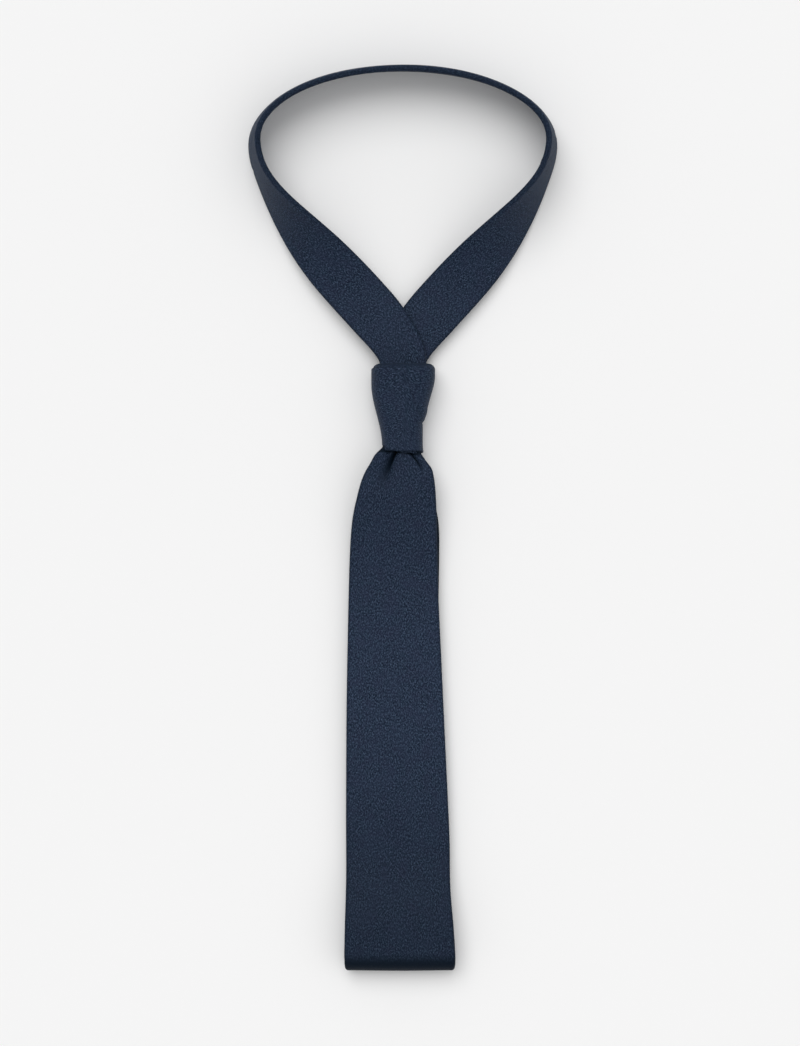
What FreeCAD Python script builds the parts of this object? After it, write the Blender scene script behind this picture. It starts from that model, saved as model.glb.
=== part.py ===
import FreeCAD, Part
import math
import os
import re
import Sketcher

# A slim necktie, tied in a four-in-hand knot and laid flat on its back, front face up.
# Millimetres. X runs across the tie, Y along it towards the neck, and Z up from the surface
# that it lies on. The origin is under the middle of the knot, on that surface.
# "down" is a distance below the knot's mouth, the edge where the front blade comes out.

SIZES = {
    # the folded cloth: silk round a wool interlining
    "ply": 3.2,               # thickness of the folded tie
    "skin": 0.7,              # silk wall round the interlining
    "play": 0.15,             # gap between the silk and the interlining
    "gap": 0.3,               # gap between pieces that move apart
    # the knot
    "knot_half": 22.0,        # half of its length along Y
    "mouth_half": 10.6,       # half of its width at the mouth
    "waist_half": 12.4,       # and part of the way up
    "crown_half": 17.0,       # and at its top
    "waist_up": 20.0,         # how far above the mouth the waist is
    "mouth_thick": 19.1,
    "crown_thick": 24.0,
    "wrap_wall": 3.2,         # thickness of the front band
    "side_wall": 2.2,         # and of the wraps at the knot's sides
    "knot_corner": 5.0,       # rounding of the knot's long edges
    "wrap_split": 6.0,        # height where the front band meets the back wrap
    "back_wall": 3.4,         # thickness of the wrap under the legs
    "flattened": 0.2,         # how much of the rounded back is pressed flat
    # the two legs that run through the knot, one on the other
    "tail_rise": 5.3,         # height of the tail's middle inside the knot
    "leg_half": 7.75,         # half of a leg's gathered width at the mouth
    "leg_crown_half": 12.0,   # and at the knot's top
    "leg_end": 24.8,          # where the legs meet the neck loop
    "top_fold_half": 8.8,     # half the width of the blade where it turns over the knot's top
    "stub_down": 8.0,         # how far above the mouth the crossing leg ends
    "slide": 18.0,            # travel of the knot along the tail
    # the tail
    "tail_settle": 55.0,      # down: where the tail reaches the surface
    "tail_lie": 2.0,          # height of its middle there, on the trim of its back seam
    "tail_fan": 41.0,         # down: where it has opened to its full width
    "tail_fan_left": 9.0,
    "tail_fan_right": 19.2,
    "tail_end_left": 15.5,
    "tail_end_right": 16.5,
    "tail_shoulder": 202.0,   # down: where the tail's point begins
    "tail_point": 218.0,      # down: the tip of the tail
    # the front blade
    "blade_rise": 14.0,       # height of the blade's middle inside the knot
    "throat": 50.0,           # down: where the gathers have opened out
    "throat_height": 7.4,
    "throat_left": 27.9,
    "throat_right": 18.1,
    "lie": 6.5,               # height of the blade's middle where it lies on the tail
    "lie_from": 80.0,
    "lie_to": 200.0,
    "fold_left": 30.4,
    "fold_right": 27.2,
    "fold_from": 246.0,       # down: where the blade is level again
    "fold_down": 261.5,       # down: the axis of the fold
    "fold_mid": 5.9,          # radius of the fold at the middle of the cloth
    # the folded-under tip
    "flap_side": 12.0,        # straight side of the flap
    "flap_point": 29.0,       # length of its point
    "flap_pinch": 0.8,        # how much narrower it is than the fold, at each side
    # trim
    "keeper_down": 150.0,     # down: the middle of the keeper loop
    "keeper_wide": 12.0,
    "keeper_long": 40.0,
    "keeper_thick": 0.6,
    "blade_tack": 252.0,      # down: the stitched bar where the back seam opens
    "label_down": 182.0,
    "label_wide": 30.0,
    "label_long": 16.0,
    "trim_thick": 0.4,
    "tack_long": 8.0,
    "tack_wide": 1.2,
    "stitch_long": 4.0,
    "stitch_wide": 0.5,
    "stitch_pitch": 8.0,
    # the loop for the neck
    "band_half": 14.0,        # half of the neck band's width
    "band_start_half": 12.2,  # and where it leaves the knot
    "loop_start": 25.4,
    "loop_half": 77.0,        # half of the loop's width, at the middle of the band
    "loop_side": 139.0,       # Y where the loop is widest
    "loop_depth": 38.0,       # from there to the back of the neck
    "back_roll": 80.0,        # degrees that the band stands up at the back of the neck
    "panel_share": 0.4,       # the neck panel's share of each side, next to the back of the neck
    "loop_steps": 20.0,       # cross-sections along each side
}

doc = FreeCAD.newDocument("Necktie")
sheet = doc.addObject("Spreadsheet::Sheet", "Sizes")
for row, (alias, value) in enumerate(SIZES.items(), start=1):
    sheet.set("A%d" % row, alias)
    sheet.set("B%d" % row, "%g" % value)
    sheet.setAlias("B%d" % row, alias)
doc.recompute()
shown = []                    # the document objects that are sub-parts
SPARE_CELL = "D1"
worked_out = {}               # the value of each formula worked out so far


def in_sheet(formula):
    """The formula with each size written as a cell of the sheet."""
    def word(found):
        return "Sizes." + found.group() if found.group() in SIZES else found.group()
    return re.sub(r"[a-z_]+", word, formula)


def size(formula):
    """The value of a formula of sizes, worked out in a spare cell of the sheet."""
    if formula in SIZES:
        return SIZES[formula]
    if formula not in worked_out:
        sheet.set(SPARE_CELL, "=" + formula)
        sheet.recompute()
        worked_out[formula] = float(sheet.get(SPARE_CELL))
        sheet.clear(SPARE_CELL)
    return worked_out[formula]


def down(formula):
    """The Y of a place that far below the knot's mouth."""
    return "-(knot_half) - (%s)" % formula


def keep(thing, label):
    """Names a document object as a sub-part."""
    thing.Label = label
    thing.Placement = FreeCAD.Placement()
    shown.append(thing)
    return thing


# ---- sketches and solids bound to the sheet ----

def new_sketch(body, plane, offset=None):
    """An empty sketch on one of the body's own origin planes, moved along its normal."""
    sketch = body.newObject("Sketcher::SketchObject", "Sketch")
    support = next(item for item in body.Origin.OriginFeatures if item.Role == plane)
    sketch.AttachmentSupport = [(support, "")]
    sketch.MapMode = "FlatFace"
    if offset:
        sketch.setExpression("AttachmentOffset.Base.z", in_sheet(offset))
    return sketch


def add_outline(sketch, corners):
    """Draws a closed outline of straight edges. Each corner is a pair of formulas."""
    first = sketch.GeometryCount
    places = [FreeCAD.Vector(size(across), size(along), 0) for across, along in corners]
    for place, following in zip(places, places[1:] + places[:1]):
        sketch.addGeometry(Part.LineSegment(place, following), False)
    for corner, (formulas, place) in enumerate(zip(corners, places)):
        edge = first + corner
        following = first + (corner + 1) % len(corners)
        sketch.addConstraint(Sketcher.Constraint("Coincident", edge, 2, following, 1))
        for kind, formula, value in zip(("DistanceX", "DistanceY"), formulas, place):
            datum = sketch.addConstraint(Sketcher.Constraint(kind, -1, 1, edge, 1, value))
            sketch.setExpression("Constraints[%d]" % datum, in_sheet(formula))


def rectangle(left, right, low, high):
    """The corners of a rectangle, from the formulas of its four sides."""
    return [(left, low), (right, low), (right, high), (left, high)]


def pad_sketch(body, sketch, length):
    """Pads a sketch by the same amount to both sides of its plane."""
    pad = body.newObject("PartDesign::Pad", "Pad")
    pad.Profile = sketch
    pad.Midplane = True
    pad.setExpression("Length", in_sheet(length))
    doc.recompute()
    return pad


def strip(label, path, plan, half_thick, inset="0"):
    """A length of folded cloth: its side view along path, cut to its plan.

    path has (y, height of the middle) pairs. plan has (x, y, inward x, inward y) corners, and
    the piece is smaller all round by inset."""
    body = doc.addObject("PartDesign::Body", label)
    side = new_sketch(body, "YZ_Plane")
    upper = [(along, "(%s) + (%s)" % (middle, half_thick)) for along, middle in path]
    lower = [(along, "(%s) - (%s)" % (middle, half_thick)) for along, middle in path]
    add_outline(side, upper + lower[::-1])
    pad_sketch(body, side, "6 * knot_half")
    cut = new_sketch(body, "XY_Plane")
    reach = "20 * knot_half"
    add_outline(cut, rectangle("-" + reach, reach, "-" + reach, reach))
    move = "(%s) + (%s) * (%g)"
    add_outline(cut, [(move % (x, inset, ix), move % (y, inset, iy)) for x, y, ix, iy in plan])
    trim = body.newObject("PartDesign::Pocket", "Trim")
    trim.Profile = cut
    trim.Midplane = True
    trim.Type = "ThroughAll"
    before = body.Shape.Volume
    doc.recompute()
    assert 0 < body.Shape.Volume < before, label
    return body


def loft_body(label, stations, inset="0"):
    """A body through rectangles across the tie: (down, left, right, middle) formulas."""
    body = doc.addObject("PartDesign::Body", label)
    sketches = []
    for place, left, right, middle in stations:
        sketch = new_sketch(body, "XZ_Plane", "knot_half + (%s)" % place)
        add_outline(sketch, rectangle(
            "-(%s) + (%s)" % (left, inset), "(%s) - (%s)" % (right, inset),
            "(%s) - ply / 2 + (%s)" % (middle, inset), "(%s) + ply / 2 - (%s)" % (middle, inset)))
        sketches.append(sketch)
    loft = body.newObject("PartDesign::AdditiveLoft", "Loft")
    loft.Profile = sketches[0]
    loft.Sections = sketches[1:]
    loft.Ruled = True
    doc.recompute()
    return body


def hollow(label, outer, core):
    """The silk left round a core."""
    cut = doc.addObject("Part::Cut", label)
    cut.Base = outer
    cut.Tool = core
    doc.recompute()
    return keep(cut, label)


def folded(shell, interlining, path, plan):
    """A silk tube, open where its plan is square to the path's end, and its interlining."""
    outer = strip(shell + "_outside", path, plan, "ply / 2")
    core = strip(shell + "_inside", path, plan, "ply / 2 - skin", "skin")
    hollow(shell, outer, core)
    lining = strip(interlining, path, plan, "ply / 2 - skin - play", "skin + play")
    keep(lining, interlining)


# ---- the tail: the narrow end, straight through the knot and out under the blade ----

def tail_path():
    return [("leg_end", "tail_rise"), (down("slide + 3"), "tail_rise"),
            (down("tail_settle"), "tail_lie"), (down("tail_point"), "tail_lie")]


def tail_plan():
    middle = "(tail_end_right - tail_end_left) / 2"
    return [
        ("leg_crown_half", "leg_end", -1, 0),
        ("leg_half", down("0"), -1, 0),
        ("leg_half", down("slide + 1"), -1, 0),
        ("tail_fan_right", down("tail_fan"), -1, 0),
        ("tail_end_right", down("tail_shoulder"), -1, 0.4),
        (middle, down("tail_point"), 0, 1.4),
        ("-tail_end_left", down("tail_shoulder"), 1, 0.4),
        ("-tail_fan_left", down("tail_fan"), 1, 0),
        ("-leg_half", down("slide + 1"), 1, 0),
        ("-leg_half", down("0"), 1, 0),
        ("-leg_crown_half", "leg_end", 1, 0),
    ]


def flat_piece(label, corners, low, thick):
    """A thin flat piece of any outline, resting at the height low."""
    body = doc.addObject("PartDesign::Body", label)
    sketch = new_sketch(body, "XY_Plane", low)
    add_outline(sketch, corners)
    pad = body.newObject("PartDesign::Pad", "Pad")
    pad.Profile = sketch
    pad.setExpression("Length", in_sheet(thick))
    doc.recompute()
    return body


def stitch_row(label, x, start, count, low):
    """Slip stitches down a back seam: one stitch, repeated along the tie."""
    corners = rectangle("(%s) - stitch_wide / 2" % x, "(%s) + stitch_wide / 2" % x,
                        down("(%s) + stitch_long" % start), down(start))
    body = flat_piece(label, corners, low, "trim_thick")
    row = body.newObject("PartDesign::LinearPattern", "Row")
    row.Originals = [body.Tip]
    row.Direction = (body.Tip.Profile[0], ["V_Axis"])
    row.Reversed = True
    row.setExpression("Length", in_sheet("stitch_pitch * %d" % (count - 1)))
    row.Occurrences = count
    body.Tip = row
    doc.recompute()
    assert len(body.Shape.Solids) == count, label
    return keep(body, label)


def make_tail():
    folded("tail_shell", "tail_interlining", tail_path(), tail_plan())
    middle = "(tail_end_right - tail_end_left) / 2"
    low = "tail_lie - ply / 2 - trim_thick"
    keep(flat_piece("tail_tipping", [
        ("tail_end_right - 4", down("tail_shoulder")),
        (middle, down("tail_point - 5")),
        ("-tail_end_left + 4", down("tail_shoulder")),
        (middle, down("tail_shoulder - 12"))], low, "trim_thick"), "tail_tipping")
    keep(flat_piece("tail_bar_tack", rectangle(
        middle + " - tack_long / 2", middle + " + tack_long / 2",
        down("tail_shoulder - 15"), down("tail_shoulder - 15 - tack_wide")),
        low, "trim_thick"), "tail_bar_tack")
    stitch_row("tail_slip_stitch", "2", "tail_settle + 8", 15, low)


# ---- the crossing leg: the blade's side of the neck loop, where it enters the knot ----

def make_crossing_leg():
    height = "tail_rise + ply + gap"
    path = [("leg_end", height), (down("-stub_down"), height)]
    plan = [("leg_crown_half", "leg_end", -1, 0), ("-leg_crown_half", "leg_end", 1, 0),
            ("-leg_half", down("0"), 1, 0), ("leg_half", down("0"), -1, 0)]
    folded("crossing_leg_shell", "crossing_leg_interlining", path, plan)


# ---- the front blade: gathered at the mouth, lying on the tail, folded under at the bottom ----

def throat_stations(first, last):
    """Rectangles down the gathers, from inside the knot: (down, left, right, middle)."""
    inside = "mouth_half - side_wall - gap - 0.2"
    return [
        (first, inside + " - 1", inside + " - 1", "blade_rise"),
        ("gap", inside, inside, "blade_rise"),
        ("6", "17.2", "14.2", "blade_rise - 0.8"),
        ("15", "21.6", "16.4", "blade_rise - 2.2"),
        ("31", "25.6", "17.6", "(blade_rise + throat_height) / 2 - 1"),
        (last, "throat_left", "throat_right", "throat_height"),
    ]


def blade_path():
    return [(down("throat"), "throat_height"), (down("lie_from"), "lie"),
            (down("lie_to"), "lie"), (down("fold_from"), "ply / 2 + 2 * fold_mid"),
            (down("fold_down"), "ply / 2 + 2 * fold_mid")]


def blade_plan():
    top, bottom = down("throat"), down("fold_down")
    return [("throat_right", top, -1, 0), ("fold_right", bottom, -1, 0),
            ("-fold_left", bottom, 1, 0), ("-throat_left", top, 1, 0)]


def make_blade():
    throat = loft_body("throat_outside", throat_stations("-14", "throat"))
    core = loft_body("throat_inside", throat_stations("-14", "throat"), "skin")
    hollow("throat_shell", throat, core)
    keep(loft_body("throat_interlining", throat_stations("-14", "throat"), "skin + play"),
         "throat_interlining")
    folded("blade_shell", "blade_interlining", blade_path(), blade_plan())


# ---- the fold and the tip under it ----

def bent_strip(label, left, right, half_thick):
    """Cloth bent half round the fold's axis."""
    body = doc.addObject("PartDesign::Body", label)
    sketch = new_sketch(body, "XZ_Plane", "knot_half + fold_down")
    sketch.setExpression("AttachmentOffset.Base.y", in_sheet("ply / 2 + fold_mid"))
    add_outline(sketch, rectangle(left, right, "fold_mid - (%s)" % half_thick,
                                  "fold_mid + (%s)" % half_thick))
    turn = body.newObject("PartDesign::Revolution", "Turn")
    turn.Profile = sketch
    turn.ReferenceAxis = (sketch, ["H_Axis"])
    turn.Angle = 180
    doc.recompute()
    return body


def make_fold():
    outer = bent_strip("fold_outside", "-fold_left", "fold_right", "ply / 2")
    core = bent_strip("fold_inside", "-fold_left + skin", "fold_right - skin", "ply / 2 - skin")
    hollow("fold_shell", outer, core)
    keep(bent_strip("fold_interlining", "-fold_left + skin + play", "fold_right - skin - play",
                    "ply / 2 - skin - play"), "fold_interlining")


def flap_plan():
    end = down("fold_down")
    shoulder = down("fold_down - flap_side")
    return [("fold_right - flap_pinch", end, -1, 0),
            ("fold_right - flap_pinch", shoulder, -1, -0.4),
            ("(fold_right - fold_left) / 2", down("fold_down - flap_side - flap_point"), 0, -1.4),
            ("-fold_left + flap_pinch", shoulder, 1, -0.4),
            ("-fold_left + flap_pinch", end, 1, 0)]


def make_tip():
    path = [(down("fold_down"), "ply / 2"),
            (down("fold_down - flap_side - flap_point"), "ply / 2")]
    folded("tip_shell", "tip_interlining", path, flap_plan())
    middle = "(fold_right - fold_left) / 2"
    edge = "5"
    keep(flat_piece("tip_tipping", [
        ("fold_right - %s" % edge, down("fold_down")),
        ("fold_right - %s" % edge, down("fold_down - flap_side")),
        (middle, down("fold_down - flap_side - flap_point + 7")),
        ("-fold_left + %s" % edge, down("fold_down - flap_side")),
        ("-fold_left + %s" % edge, down("fold_down"))], "ply", "trim_thick"), "tip_tipping")


# ---- trim on the blade's back ----

def make_trim():
    under = "lie - ply / 2"
    left = "-keeper_long / 2 - 3"
    right = "keeper_long / 2 - 3"
    near = down("keeper_down + keeper_wide / 2")
    far = down("keeper_down - keeper_wide / 2")
    keep(flat_piece("keeper_loop", rectangle(left, right, near, far),
                    under + " - play - keeper_thick", "keeper_thick"), "keeper_loop")
    tacks = doc.addObject("Part::Fuse", "keeper_tacks")
    tacks.Base = flat_piece("keeper_tack_left", rectangle(
        left, left + " + tack_wide", near, far), under + " - play", "play")
    tacks.Tool = flat_piece("keeper_tack_right", rectangle(
        right + " - tack_wide", right, near, far), under + " - play", "play")
    doc.recompute()
    keep(tacks, "keeper_tacks")
    keep(flat_piece("blank_label", rectangle(
        "-label_wide / 2 - 3", "label_wide / 2 - 3", down("label_down + label_long / 2"),
        down("label_down - label_long / 2")), under + " - trim_thick", "trim_thick"), "blank_label")
    stitch_row("blade_slip_stitch", "-3", "lie_from + 4", 7, under + " - trim_thick")
    keep(flat_piece("blade_bar_tack", rectangle(
        "-3 - tack_long / 2", "-3 + tack_long / 2", down("blade_tack"), down("blade_tack - tack_wide")),
        "2 * fold_mid - trim_thick", "trim_thick"), "blade_bar_tack")


# ---- the knot: one wrap behind, one inside, the front band, and the fold over the top ----

def knot_section(place, half, low, high, corner):
    """A rounded rectangle across the tie, at the Y place."""
    corner = min(corner, half * 0.9, (high - low) * 0.45)
    bend = corner * (1 - math.sqrt(0.5))
    edges = []
    for side, level, flip in ((1, low, False), (1, high, True), (-1, high, False), (-1, low, True)):
        inward = 1 if level == low else -1
        flat = FreeCAD.Vector(side * (half - corner), place, level)
        middle = FreeCAD.Vector(side * (half - bend), place, level + inward * bend)
        upright = FreeCAD.Vector(side * half, place, level + inward * corner)
        ends = (upright, middle, flat) if flip else (flat, middle, upright)
        edges.append(Part.Arc(*ends).toShape())
    sides = []
    for arc, following in zip(edges, edges[1:] + edges[:1]):
        sides += [arc, Part.makeLine(arc.Vertexes[-1].Point, following.Vertexes[0].Point)]
    return Part.Wire(sides)


def knot_solid(inset_side, inset_back, inset_front, ends=0.0):
    """The knot's body, smaller by the given amounts; its ends run on by the length ends."""
    half = size("knot_half")
    sections = []
    for place, width, thick in (
            (-half, "mouth_half", "mouth_thick"),
            (-half + size("waist_up"), "waist_half", "mouth_thick + 1.5"),
            (half, "crown_half", "crown_thick")):
        sections.append(knot_section(
            place, size(width) - inset_side, inset_back - (0 if inset_back else size("flattened")),
            size(thick) - inset_front, size("knot_corner") - 1.8 * inset_side))
    solid = Part.makeLoft(sections, True)
    for section, way in ((sections[0], -1), (sections[-1], 1)):
        if ends:
            solid = solid.fuse(Part.Face(section).extrude(FreeCAD.Vector(0, way * ends, 0)))
    return solid


def level_box(low, high):
    """All the space about the knot between two heights."""
    reach = 4 * size("knot_half")
    return Part.makeBox(2 * reach, 2 * reach, high - low, FreeCAD.Vector(-reach, -reach, low))


def add_shape(label, shape):
    """A sub-part whose shape is worked out here from the sheet's sizes."""
    feature = doc.addObject("Part::Feature", label)
    feature.Shape = shape
    return keep(feature, label)


def make_knot():
    side, back, front = size("side_wall"), size("back_wall"), size("wrap_wall")
    skin, play, split = size("skin"), size("play"), size("wrap_split")
    top = 2 * size("crown_thick")
    wall = knot_solid(0, 0, 0).cut(knot_solid(side, back, front, 1.0))
    inner = knot_solid(side - skin, back - skin, front - skin, 0)
    padding = knot_solid(skin, skin, skin).cut(inner)
    lining = knot_solid(skin + play, skin + play, skin + play).cut(
        knot_solid(side - skin - play, back - skin - play, front - skin - play, 0))
    half = size("knot_half")
    within = Part.makeBox(4 * half, 2 * (half - 1.5), top, FreeCAD.Vector(-2 * half, -half + 1.5, 0))
    inside = Part.makeBox(4 * half, 2 * (half - 1.6), top, FreeCAD.Vector(-2 * half, -half + 1.6, 0))
    padding, lining = padding.common(within), lining.common(inside)
    silk = wall.cut(padding)
    add_shape("knot_front_band", silk.common(level_box(split, top)))
    add_shape("knot_back_wrap", silk.common(level_box(0, split)))
    add_shape("knot_front_interlining", lining.common(level_box(split + play, top)))
    add_shape("knot_back_interlining", lining.common(level_box(0, split - play)))


def make_knot_core():
    """The first crossing, which lies on the legs, and the fold over its top edge."""
    low = "tail_rise + 1.5 * ply + 2 * gap"
    thick = "blade_rise - ply / 2 - gap - play - (%s)" % low
    half = "leg_half - 0.2"
    top = "leg_crown_half + 0.4"
    path_top = "knot_half - 2"
    keep(flat_piece("knot_inner_wrap", [
        (half, down("0")), (top, path_top), ("-" + top.replace("+", "-"), path_top),
        ("-leg_half + 0.2", down("0"))], low, thick), "knot_inner_wrap")
    body = doc.addObject("PartDesign::Body", "knot_top_fold")
    side = new_sketch(body, "YZ_Plane")
    lip = "leg_end - gap"
    underside = "blade_rise - ply / 2"
    add_outline(side, [
        (down("-14 - gap"), underside), ("knot_half - 1.5", underside),
        ("knot_half - 1.5", low), (lip, low), (lip, "%s + ply / 2" % underside),
        ("knot_half + 1", "%s + ply" % underside), (down("-14 - gap"), "%s + ply" % underside)])
    pad_sketch(body, side, "2 * top_fold_half")
    keep(body, "knot_top_fold")


# ---- the loop for the neck: flat at the knot, standing on its outer edge at the back ----

def mixed(poles, parts):
    """The points of poles added up in the given parts."""
    across = sum(part * pole[0] for part, pole in zip(parts, poles))
    along = sum(part * pole[1] for part, pole in zip(parts, poles))
    return FreeCAD.Vector(across, along, 0)


def loop_place(way):
    """Centre line of one side of the loop, from the knot (0) to the back of the neck (1).

    Gives x, y, the heading's direction and how far the band has rolled up, from 0 to 1."""
    start, wide, side = size("loop_start"), size("loop_half"), size("loop_side")
    leg_share, rolled_from, rolled_over = 0.62, 0.18, 0.38
    turned = min(max((way - rolled_from) / rolled_over, 0), 1)
    roll = turned * turned * (3 - 2 * turned)
    if way >= leg_share:
        angle = (way - leg_share) / (1 - leg_share) * math.pi / 2
        depth = size("loop_depth")
        place = FreeCAD.Vector(wide * math.cos(angle), side + depth * math.sin(angle), 0)
        heading = FreeCAD.Vector(-wide * math.sin(angle), depth * math.cos(angle), 0)
        return place, heading.normalize(), roll
    b = way / leg_share
    poles = [(0, start), (0, start + 22), (wide, start + 75), (wide, side)]
    weights = [(1 - b) ** 3, 3 * b * (1 - b) ** 2, 3 * b * b * (1 - b), b ** 3]
    slopes = [-(1 - b) ** 2, (1 - b) * (1 - 3 * b), b * (2 - 3 * b), b * b]
    place = mixed(poles, weights)
    return place, mixed(poles, slopes).normalize(), roll


def band_section(way, height, half_thick, inset, mirror):
    """The band's cross-section on one side of the loop, as a closed wire."""
    place, heading, roll = loop_place(way)
    half = size("band_start_half") + (size("band_half") - size("band_start_half")) * min(way / 0.15, 1)
    ply = size("ply")
    angle = math.radians(size("back_roll")) * roll
    place.z = half * math.sin(angle) + ply / 2 * math.cos(angle) + (height - ply / 2) * (1 - roll)
    outward = FreeCAD.Vector(heading.y, -heading.x, 0)
    upward = FreeCAD.Vector(0, 0, 1)
    across = outward * math.cos(angle) - upward * math.sin(angle)
    normal = outward * math.sin(angle) + upward * math.cos(angle)
    corners = [place + across * a * (half - inset) + normal * b * half_thick
               for a, b in ((1, 1), (1, -1), (-1, -1), (-1, 1))]
    if mirror:
        corners = [FreeCAD.Vector(-corner.x, corner.y, corner.z) for corner in corners]
    return Part.makePolygon(corners + corners[:1])


def loop_stretch(begin, end, half_thick, inset):
    """The band from begin to end; 0 is the tail's side, 1 the back of the neck, 2 the other."""
    steps = round((end - begin) * size("loop_steps"))
    tail_side = size("tail_rise")
    blade_side = tail_side + size("ply") + size("gap")
    wires = []
    for step in range(steps + 1):
        way = begin + (end - begin) * step / steps
        mirror = way > 1
        height = blade_side if mirror else tail_side
        wires.append(band_section(2 - way if mirror else way, height, half_thick, inset, mirror))
    return Part.makeLoft(wires, True, True)


def make_neck_loop():
    ply, skin, play = size("ply"), size("skin"), size("play")
    panel = size("panel_share")
    seams = (0.0, 1 - panel, 1 + panel, 2.0)
    labels = ("neck_tail_side_shell", "neck_panel_shell", "neck_blade_side_shell")
    for label, begin, end in zip(labels, seams, seams[1:]):
        outer = loop_stretch(begin, end, ply / 2, 0)
        add_shape(label, outer.cut(loop_stretch(begin, end, ply / 2 - skin, skin)))
    add_shape("neck_interlining", loop_stretch(0.0, 2.0, ply / 2 - skin - play, skin + play))


def check_and_write():
    """Stops at a failed object or a bad shape, then writes one STEP file for each sub-part."""
    doc.recompute()
    for item in doc.Objects:
        assert "Invalid" not in item.State and "Error" not in item.State, (item.Label, item.State)
    os.makedirs("parts", exist_ok=True)
    for item in shown:
        assert not item.Shape.isNull() and item.Shape.isValid(), item.Label
        item.Shape.exportStep("parts/%s.step" % item.Label)
        box = item.Shape.BoundBox
        print("%-26s %9.1f mm3, %d solids, y %.1f to %.1f, z %.2f to %.2f" % (
            item.Label, item.Shape.Volume, len(item.Shape.Solids),
            box.YMin, box.YMax, box.ZMin, box.ZMax))


make_tail()
make_crossing_leg()
make_blade()
make_fold()
make_tip()
make_trim()
make_knot()
make_knot_core()
make_neck_loop()
check_and_write()
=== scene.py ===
import math

import bmesh
import bpy
import numpy as np
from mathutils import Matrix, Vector


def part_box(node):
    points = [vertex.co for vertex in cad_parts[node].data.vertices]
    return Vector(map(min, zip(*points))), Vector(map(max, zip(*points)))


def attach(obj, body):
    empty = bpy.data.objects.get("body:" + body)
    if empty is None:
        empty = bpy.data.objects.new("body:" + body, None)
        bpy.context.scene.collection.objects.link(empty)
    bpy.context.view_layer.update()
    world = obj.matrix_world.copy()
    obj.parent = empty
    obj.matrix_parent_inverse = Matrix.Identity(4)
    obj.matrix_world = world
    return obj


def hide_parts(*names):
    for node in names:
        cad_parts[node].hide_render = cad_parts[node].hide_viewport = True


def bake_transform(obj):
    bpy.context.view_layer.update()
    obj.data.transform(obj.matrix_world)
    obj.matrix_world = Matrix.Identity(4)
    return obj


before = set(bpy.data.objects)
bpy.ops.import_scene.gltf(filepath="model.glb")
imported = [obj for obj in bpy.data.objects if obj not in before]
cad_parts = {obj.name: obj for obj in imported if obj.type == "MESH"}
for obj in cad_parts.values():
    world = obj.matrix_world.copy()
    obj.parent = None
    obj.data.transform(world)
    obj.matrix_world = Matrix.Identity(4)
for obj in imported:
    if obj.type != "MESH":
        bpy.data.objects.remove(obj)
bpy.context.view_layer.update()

# A slim necktie of bias-cut silk folded round a wool interlining, tied in a four-in-hand knot.
# Metres. X runs across the tie, Y along it towards the neck and Z up. "down" is a distance
# below the knot's mouth and "up" one above it. A turn goes round the knot: 0 is its front
# and it grows towards +X.

MM = 0.001
KNOT_LOW, KNOT_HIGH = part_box("knot_front_band")
FOLD_LOW, FOLD_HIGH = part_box("fold_shell")
TAIL_LOW, TAIL_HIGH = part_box("tail_shell")
TIP_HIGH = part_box("tip_shell")[1]
BLADE_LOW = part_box("blade_shell")[0]
THROAT_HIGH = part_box("throat_shell")[1]
CROSSING_LOW, CROSSING_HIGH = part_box("crossing_leg_shell")

MOUTH = KNOT_LOW.y  # the knot's lower edge, where the blade comes out
KNOT_LONG = KNOT_HIGH.y - KNOT_LOW.y
PLY = TIP_HIGH.z  # thickness of the folded tie
SILK = 0.4 * MM  # and of one layer of its silk
LAP = 0.45 * MM  # how far the outer back flap stands over the inner one
BAND = 1.9 * MM  # thickness of the folded wraps of the knot
WOOL = 1.75 * MM  # thickness of the interlining
WOOL_LEVEL = 0.24 * MM  # its middle, out from the middle of the ply
WOOL_INSET = 0.9 * MM  # and how far inside the folded edges it stays
LINING = 0.22 * MM  # the same three for the tipping
LINING_LEVEL = -0.92 * MM
LINING_INSET = 2 * MM

FOLD_Y = FOLD_HIGH.y  # where the blade turns under
FOLD_RADIUS = (FOLD_HIGH.z - PLY) / 2  # of the middle of the cloth
FOLD_DOWN = MOUTH - FOLD_Y
FOLD_ARC = math.pi * FOLD_RADIUS
FOLD_QUARTER = FOLD_DOWN + FOLD_ARC / 2  # down: half way round the fold
FOLD_END = FOLD_DOWN + FOLD_ARC  # down: where the folded-under tip begins
TIP_SIDE = 12 * MM  # its straight side
TIP_LONG = TIP_HIGH.y - FOLD_Y
TIP_SHOULDER = FOLD_END + TIP_SIDE
TIP_POINT = FOLD_END + TIP_LONG
BLADE_SEAM = -3 * MM  # X of the back seams
TAIL_SEAM = 2 * MM
BLADE_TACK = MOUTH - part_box("blade_bar_tack")[0].y
TAIL_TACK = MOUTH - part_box("tail_bar_tack")[0].y
TAIL_SHOULDER = 202 * MM  # down: where the tail's point begins
TAIL_DOWN = MOUTH - TAIL_LOW.y
JOIN_Y = -2 * MM  # inside the knot, where the tail's leg becomes the tail
TAIL_RISE = TAIL_HIGH.z - PLY / 2  # height of each length's middle inside the knot
CROSSING_RISE = CROSSING_HIGH.z - PLY / 2
BLADE_RISE = THROAT_HIGH.z - PLY / 2
BLADE_LIE = BLADE_LOW.z + PLY / 2  # and where it lies on the tail
BLADE_LEVEL = FOLD_HIGH.z - PLY / 2  # and at the fold
LOOP_START = 25.4 * MM  # Y where the legs become the neck loop
LEG_HALF = 7.75 * MM  # half of a leg's gathered width at the mouth
LEG_GROWS = 4.45 * MM  # and how much more it is at the knot's top
LEG_LONG = LOOP_START - MOUTH


def smooth(t):
    """0 to 1 with soft ends."""
    t = np.clip(t, 0, 1)
    return t * t * (3 - 2 * t)


def bell(t):
    """1 at 0, and nearly 0 past 2."""
    return np.exp(-t * t)


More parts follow.
